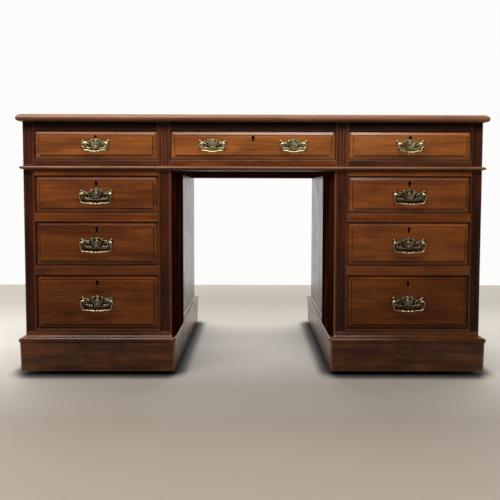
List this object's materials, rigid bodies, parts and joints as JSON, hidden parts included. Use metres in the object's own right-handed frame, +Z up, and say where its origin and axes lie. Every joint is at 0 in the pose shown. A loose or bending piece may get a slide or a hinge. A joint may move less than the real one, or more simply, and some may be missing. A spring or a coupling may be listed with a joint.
{
  "type": "pedestal desk",
  "caption": "Walnut pedestal desk: a top with inset leather and frieze drawers stands on graduated drawer pedestals with an open kneehole, brass bail handles and hidden castors.",
  "frame": {"origin": "middle of the desk's footprint on the floor", "axes": "+X to the sitter's right along the desk's length, the drawers face -Y, +Z up"},
  "size_m": [1.386, 0.662, 0.7725],
  "materials": {
    "walnut_top": "waxed walnut",
    "walnut_case": "dark polished walnut",
    "walnut_plinth": "worn dark walnut",
    "walnut_drawer_front": "polished figured walnut",
    "oak_drawer_lining": "bare planed oak",
    "antique_brass": "dull antique",
    "green_leather": "waxed hide",
    "castor_brass": "tarnished",
    "castor_iron": "worn dark"
  },
  "bodies": {
    "carcase": {"desk_top": "walnut_top", "frieze_case": "walnut_case", "left_pedestal_case": "walnut_case", "left_plinth": "walnut_plinth", "right_pedestal_case": "walnut_case", "right_plinth": "walnut_plinth", "writing_leather": "green_leather"},
    "frieze_left_drawer": {"frieze_left_drawer_front": "walnut_drawer_front", "frieze_left_drawer_box": "oak_drawer_lining", "frieze_left_brassware": "antique_brass"},
    "frieze_left_handle": {"frieze_left_bail": "antique_brass"},
    "left_lower_drawer": {"left_lower_drawer_front": "walnut_drawer_front", "left_lower_drawer_box": "oak_drawer_lining", "left_lower_brassware": "antique_brass"},
    "left_lower_handle": {"left_lower_bail": "antique_brass"},
    "left_middle_drawer": {"left_middle_drawer_front": "walnut_drawer_front", "left_middle_drawer_box": "oak_drawer_lining", "left_middle_brassware": "antique_brass"},
    "left_middle_handle": {"left_middle_bail": "antique_brass"},
    "left_upper_drawer": {"left_upper_drawer_front": "walnut_drawer_front", "left_upper_drawer_box": "oak_drawer_lining", "left_upper_brassware": "antique_brass"},
    "left_upper_handle": {"left_upper_bail": "antique_brass"},
    "frieze_right_drawer": {"frieze_right_drawer_front": "walnut_drawer_front", "frieze_right_drawer_box": "oak_drawer_lining", "frieze_right_brassware": "antique_brass"},
    "frieze_right_handle": {"frieze_right_bail": "antique_brass"},
    "right_lower_drawer": {"right_lower_drawer_front": "walnut_drawer_front", "right_lower_drawer_box": "oak_drawer_lining", "right_lower_brassware": "antique_brass"},
    "right_lower_handle": {"right_lower_bail": "antique_brass"},
    "right_middle_drawer": {"right_middle_drawer_front": "walnut_drawer_front", "right_middle_drawer_box": "oak_drawer_lining", "right_middle_brassware": "antique_brass"},
    "right_middle_handle": {"right_middle_bail": "antique_brass"},
    "right_upper_drawer": {"right_upper_drawer_front": "walnut_drawer_front", "right_upper_drawer_box": "oak_drawer_lining", "right_upper_brassware": "antique_brass"},
    "right_upper_handle": {"right_upper_bail": "antique_brass"},
    "frieze_centre_drawer": {"frieze_centre_drawer_front": "walnut_drawer_front", "frieze_centre_drawer_box": "oak_drawer_lining", "frieze_centre_brassware": "antique_brass"},
    "frieze_centre_left_handle": {"frieze_centre_left_bail": "antique_brass"},
    "frieze_centre_right_handle": {"frieze_centre_right_bail": "antique_brass"},
    "left_front_inner_castor": {"left_front_inner_castor_fork": "castor_brass"},
    "left_front_inner_wheel": {"left_front_inner_castor_wheel": "castor_iron"},
    "left_front_outer_castor": {"left_front_outer_castor_fork": "castor_brass"},
    "left_front_outer_wheel": {"left_front_outer_castor_wheel": "castor_iron"},
    "left_back_inner_castor": {"left_back_inner_castor_fork": "castor_brass"},
    "left_back_inner_wheel": {"left_back_inner_castor_wheel": "castor_iron"},
    "left_back_outer_castor": {"left_back_outer_castor_fork": "castor_brass"},
    "left_back_outer_wheel": {"left_back_outer_castor_wheel": "castor_iron"},
    "right_front_inner_castor": {"right_front_inner_castor_fork": "castor_brass"},
    "right_front_inner_wheel": {"right_front_inner_castor_wheel": "castor_iron"},
    "right_front_outer_castor": {"right_front_outer_castor_fork": "castor_brass"},
    "right_front_outer_wheel": {"right_front_outer_castor_wheel": "castor_iron"},
    "right_back_inner_castor": {"right_back_inner_castor_fork": "castor_brass"},
    "right_back_inner_wheel": {"right_back_inner_castor_wheel": "castor_iron"},
    "right_back_outer_castor": {"right_back_outer_castor_fork": "castor_brass"},
    "right_back_outer_wheel": {"right_back_outer_castor_wheel": "castor_iron"}
  },
  "joints": [
    {"name": "frieze_left_drawer_slide", "type": "slide", "parent": "carcase", "child": "frieze_left_drawer", "axis": [0, -1, 0], "range_m": [0, 0.42]},
    {"name": "frieze_left_bail_swing", "type": "hinge", "parent": "frieze_left_drawer", "child": "frieze_left_handle", "pos_m": [-0.463, -0.3265, 0.686], "axis": [-1, 0, 0], "range_deg": [0, 90]},
    {"name": "left_lower_drawer_slide", "type": "slide", "parent": "carcase", "child": "left_lower_drawer", "axis": [0, -1, 0], "range_m": [0, 0.42]},
    {"name": "left_lower_bail_swing", "type": "hinge", "parent": "left_lower_drawer", "child": "left_lower_handle", "pos_m": [-0.463, -0.3265, 0.2205], "axis": [-1, 0, 0], "range_deg": [0, 90]},
    {"name": "left_middle_drawer_slide", "type": "slide", "parent": "carcase", "child": "left_middle_drawer", "axis": [0, -1, 0], "range_m": [0, 0.42]},
    {"name": "left_middle_bail_swing", "type": "hinge", "parent": "left_middle_drawer", "child": "left_middle_handle", "pos_m": [-0.463, -0.3265, 0.39475], "axis": [-1, 0, 0], "range_deg": [0, 90]},
    {"name": "left_upper_drawer_slide", "type": "slide", "parent": "carcase", "child": "left_upper_drawer", "axis": [0, -1, 0], "range_m": [0, 0.42]},
    {"name": "left_upper_bail_swing", "type": "hinge", "parent": "left_upper_drawer", "child": "left_upper_handle", "pos_m": [-0.463, -0.3265, 0.53825], "axis": [-1, 0, 0], "range_deg": [0, 90]},
    {"name": "frieze_right_drawer_slide", "type": "slide", "parent": "carcase", "child": "frieze_right_drawer", "axis": [0, -1, 0], "range_m": [0, 0.42]},
    {"name": "frieze_right_bail_swing", "type": "hinge", "parent": "frieze_right_drawer", "child": "frieze_right_handle", "pos_m": [0.463, -0.3265, 0.686], "axis": [-1, 0, 0], "range_deg": [0, 90]},
    {"name": "right_lower_drawer_slide", "type": "slide", "parent": "carcase", "child": "right_lower_drawer", "axis": [0, -1, 0], "range_m": [0, 0.42]},
    {"name": "right_lower_bail_swing", "type": "hinge", "parent": "right_lower_drawer", "child": "right_lower_handle", "pos_m": [0.463, -0.3265, 0.2205], "axis": [-1, 0, 0], "range_deg": [0, 90]},
    {"name": "right_middle_drawer_slide", "type": "slide", "parent": "carcase", "child": "right_middle_drawer", "axis": [0, -1, 0], "range_m": [0, 0.42]},
    {"name": "right_middle_bail_swing", "type": "hinge", "parent": "right_middle_drawer", "child": "right_middle_handle", "pos_m": [0.463, -0.3265, 0.39475], "axis": [-1, 0, 0], "range_deg": [0, 90]},
    {"name": "right_upper_drawer_slide", "type": "slide", "parent": "carcase", "child": "right_upper_drawer", "axis": [0, -1, 0], "range_m": [0, 0.42]},
    {"name": "right_upper_bail_swing", "type": "hinge", "parent": "right_upper_drawer", "child": "right_upper_handle", "pos_m": [0.463, -0.3265, 0.53825], "axis": [-1, 0, 0], "range_deg": [0, 90]},
    {"name": "frieze_centre_drawer_slide", "type": "slide", "parent": "carcase", "child": "frieze_centre_drawer", "axis": [0, -1, 0], "range_m": [0, 0.42]},
    {"name": "frieze_centre_left_bail_swing", "type": "hinge", "parent": "frieze_centre_drawer", "child": "frieze_centre_left_handle", "pos_m": [-0.119, -0.3265, 0.686], "axis": [-1, 0, 0], "range_deg": [0, 90]},
    {"name": "frieze_centre_right_bail_swing", "type": "hinge", "parent": "frieze_centre_drawer", "child": "frieze_centre_right_handle", "pos_m": [0.119, -0.3265, 0.686], "axis": [-1, 0, 0], "range_deg": [0, 90]},
    {"name": "left_front_inner_castor_swivel", "type": "hinge", "parent": "carcase", "child": "left_front_inner_castor", "pos_m": [-0.298, -0.262, 0.04], "axis": [0, 0, 1], "continuous": true},
    {"name": "left_front_inner_wheel_roll", "type": "hinge", "parent": "left_front_inner_castor", "child": "left_front_inner_wheel", "pos_m": [-0.298, -0.25, 0.015], "axis": [1, 0, 0], "continuous": true},
    {"name": "left_front_outer_castor_swivel", "type": "hinge", "parent": "carcase", "child": "left_front_outer_castor", "pos_m": [-0.624, -0.262, 0.04], "axis": [0, 0, 1], "continuous": true},
    {"name": "left_front_outer_wheel_roll", "type": "hinge", "parent": "left_front_outer_castor", "child": "left_front_outer_wheel", "pos_m": [-0.624, -0.25, 0.015], "axis": [1, 0, 0], "continuous": true},
    {"name": "left_back_inner_castor_swivel", "type": "hinge", "parent": "carcase", "child": "left_back_inner_castor", "pos_m": [-0.298, 0.262, 0.04], "axis": [0, 0, 1], "continuous": true},
    {"name": "left_back_inner_wheel_roll", "type": "hinge", "parent": "left_back_inner_castor", "child": "left_back_inner_wheel", "pos_m": [-0.298, 0.274, 0.015], "axis": [1, 0, 0], "continuous": true},
    {"name": "left_back_outer_castor_swivel", "type": "hinge", "parent": "carcase", "child": "left_back_outer_castor", "pos_m": [-0.624, 0.262, 0.04], "axis": [0, 0, 1], "continuous": true},
    {"name": "left_back_outer_wheel_roll", "type": "hinge", "parent": "left_back_outer_castor", "child": "left_back_outer_wheel", "pos_m": [-0.624, 0.274, 0.015], "axis": [1, 0, 0], "continuous": true},
    {"name": "right_front_inner_castor_swivel", "type": "hinge", "parent": "carcase", "child": "right_front_inner_castor", "pos_m": [0.298, -0.262, 0.04], "axis": [0, 0, 1], "continuous": true},
    {"name": "right_front_inner_wheel_roll", "type": "hinge", "parent": "right_front_inner_castor", "child": "right_front_inner_wheel", "pos_m": [0.298, -0.25, 0.015], "axis": [1, 0, 0], "continuous": true},
    {"name": "right_front_outer_castor_swivel", "type": "hinge", "parent": "carcase", "child": "right_front_outer_castor", "pos_m": [0.624, -0.262, 0.04], "axis": [0, 0, 1], "continuous": true},
    {"name": "right_front_outer_wheel_roll", "type": "hinge", "parent": "right_front_outer_castor", "child": "right_front_outer_wheel", "pos_m": [0.624, -0.25, 0.015], "axis": [1, 0, 0], "continuous": true},
    {"name": "right_back_inner_castor_swivel", "type": "hinge", "parent": "carcase", "child": "right_back_inner_castor", "pos_m": [0.298, 0.262, 0.04], "axis": [0, 0, 1], "continuous": true},
    {"name": "right_back_inner_wheel_roll", "type": "hinge", "parent": "right_back_inner_castor", "child": "right_back_inner_wheel", "pos_m": [0.298, 0.274, 0.015], "axis": [1, 0, 0], "continuous": true},
    {"name": "right_back_outer_castor_swivel", "type": "hinge", "parent": "carcase", "child": "right_back_outer_castor", "pos_m": [0.624, 0.262, 0.04], "axis": [0, 0, 1], "continuous": true},
    {"name": "right_back_outer_wheel_roll", "type": "hinge", "parent": "right_back_outer_castor", "child": "right_back_outer_wheel", "pos_m": [0.624, 0.274, 0.015], "axis": [1, 0, 0], "continuous": true}
  ]
}
